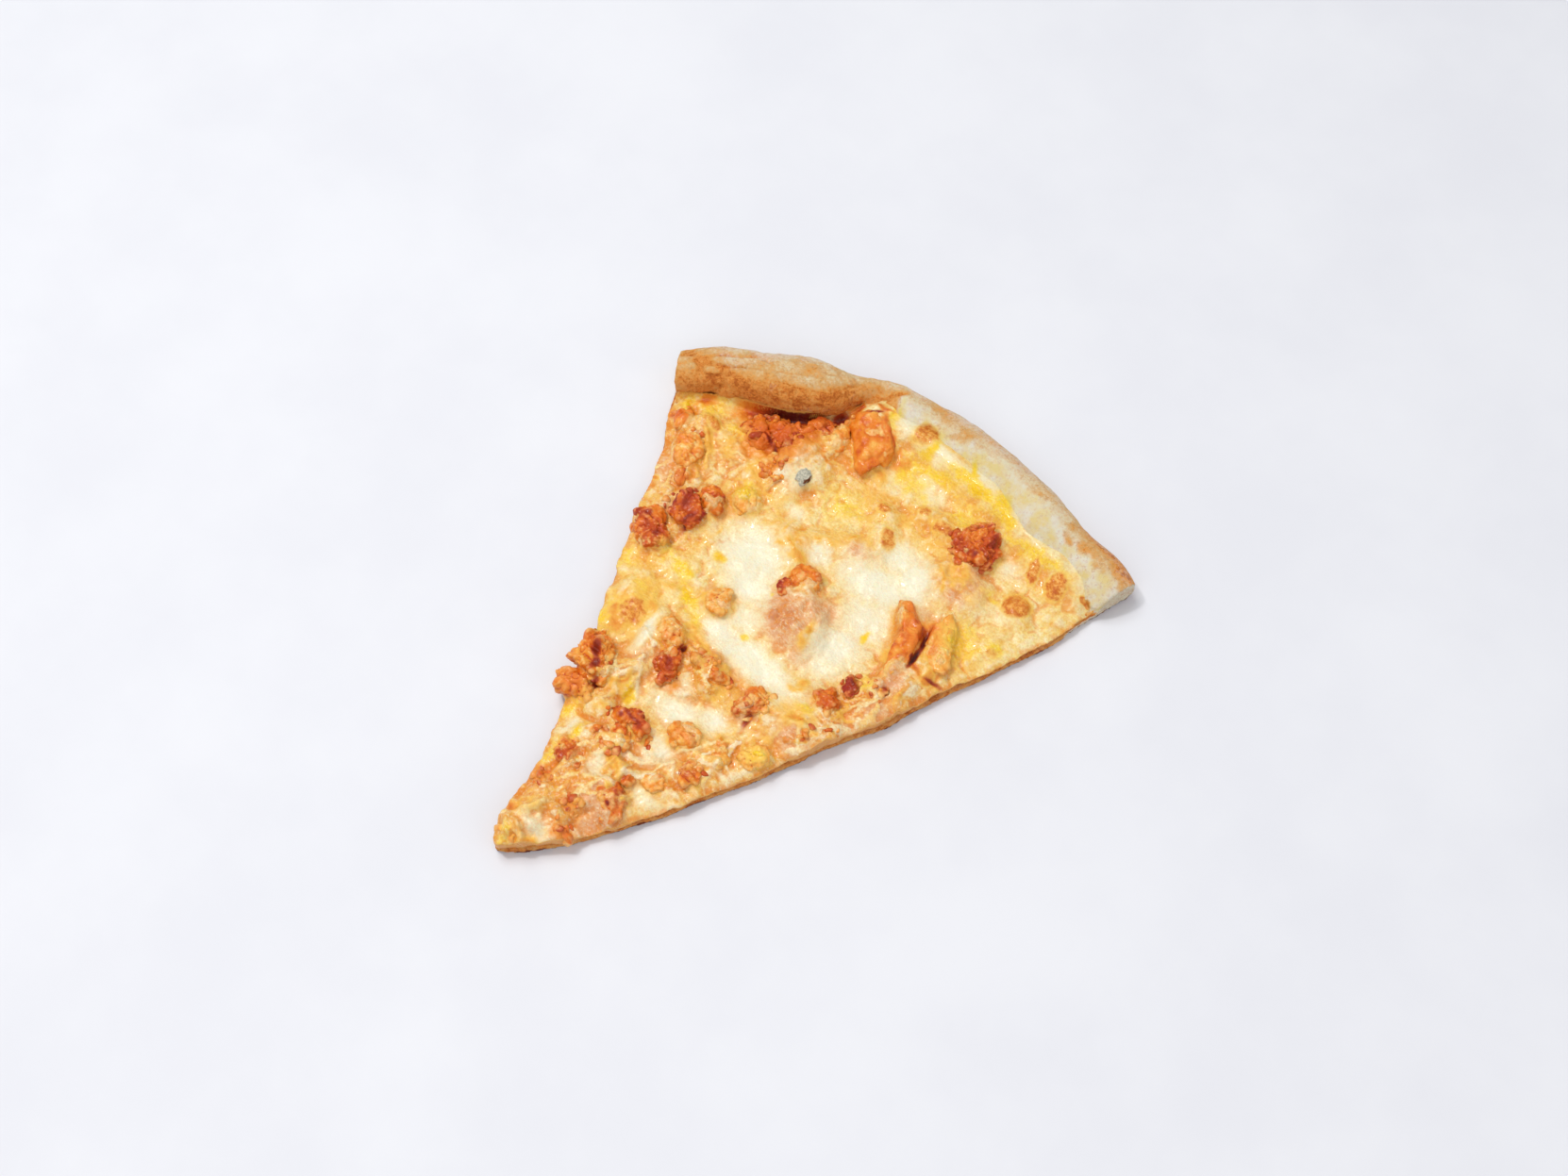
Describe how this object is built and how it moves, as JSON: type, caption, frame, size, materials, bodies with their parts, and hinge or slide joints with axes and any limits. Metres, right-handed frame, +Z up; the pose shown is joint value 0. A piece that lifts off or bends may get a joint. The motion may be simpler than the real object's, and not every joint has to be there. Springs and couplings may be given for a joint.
{
  "type": "pizza slice",
  "caption": "Thin-crust pizza slice with melted cheese and nuggets of sauced chicken, its browned crust folded over along one half of the rim.",
  "frame": {"origin": "bottom centre of the slice's bounding box, on the surface it lies on", "axes": "+Y runs from the tip to the rim, +Z up, +X to the right seen from above with the rim away from the viewer"},
  "size_m": [0.1794, 0.2226, 0.0188],
  "materials": {
    "crust": "baked dough, browned in patches and dusted with flour",
    "melted_cheese": "melted cheese, oily, with toasted patches",
    "sauced_chicken": "roasted chicken in an orange-red sauce, moist"
  },
  "bodies": {
    "root": {"cheese": "melted_cheese", "chicken_amber_bead": "sauced_chicken", "chicken_beside_strip": "sauced_chicken", "chicken_brown_bead": "sauced_chicken", "chicken_brown_shard": "sauced_chicken", "chicken_centre_bead": "sauced_chicken", "chicken_centre_cap": "sauced_chicken", "chicken_corner_bit": "sauced_chicken", "chicken_crumble_beside_roll": "sauced_chicken", "chicken_crumble_by_fold": "sauced_chicken", "chicken_crumble_under_roll": "sauced_chicken", "chicken_curl": "sauced_chicken", "chicken_dark_bead": "sauced_chicken", "chicken_flank": "sauced_chicken", "chicken_gold_nugget": "sauced_chicken", "chicken_golden_bead": "sauced_chicken", "chicken_left_cap": "sauced_chicken", "chicken_left_crag_lower": "sauced_chicken", "chicken_left_crag_upper": "sauced_chicken", "chicken_left_nugget": "sauced_chicken", "chicken_left_wedge": "sauced_chicken", "chicken_low_amber": "sauced_chicken", "chicken_low_crumb": "sauced_chicken", "chicken_low_ridge": "sauced_chicken", "chicken_low_star": "sauced_chicken", "chicken_lower_nugget": "sauced_chicken", "chicken_middle_nugget": "sauced_chicken", "chicken_nugget_at_rim": "sauced_chicken", "chicken_pink_shard": "sauced_chicken", "chicken_purple_bead": "sauced_chicken", "chicken_red_shard": "sauced_chicken", "chicken_ridge_lower_left": "sauced_chicken", "chicken_ridge_upper_left": "sauced_chicken", "chicken_roof_bead": "sauced_chicken", "chicken_roof_shard": "sauced_chicken", "chicken_strip_at_rim": "sauced_chicken", "chicken_tip_amber": "sauced_chicken", "chicken_tip_bead": "sauced_chicken", "chicken_tip_curl": "sauced_chicken", "chicken_tip_flake": "sauced_chicken", "chicken_tip_lobe": "sauced_chicken", "chicken_tip_orange": "sauced_chicken", "chicken_tip_right": "sauced_chicken", "dough": "crust"}
  },
  "joints": []
}
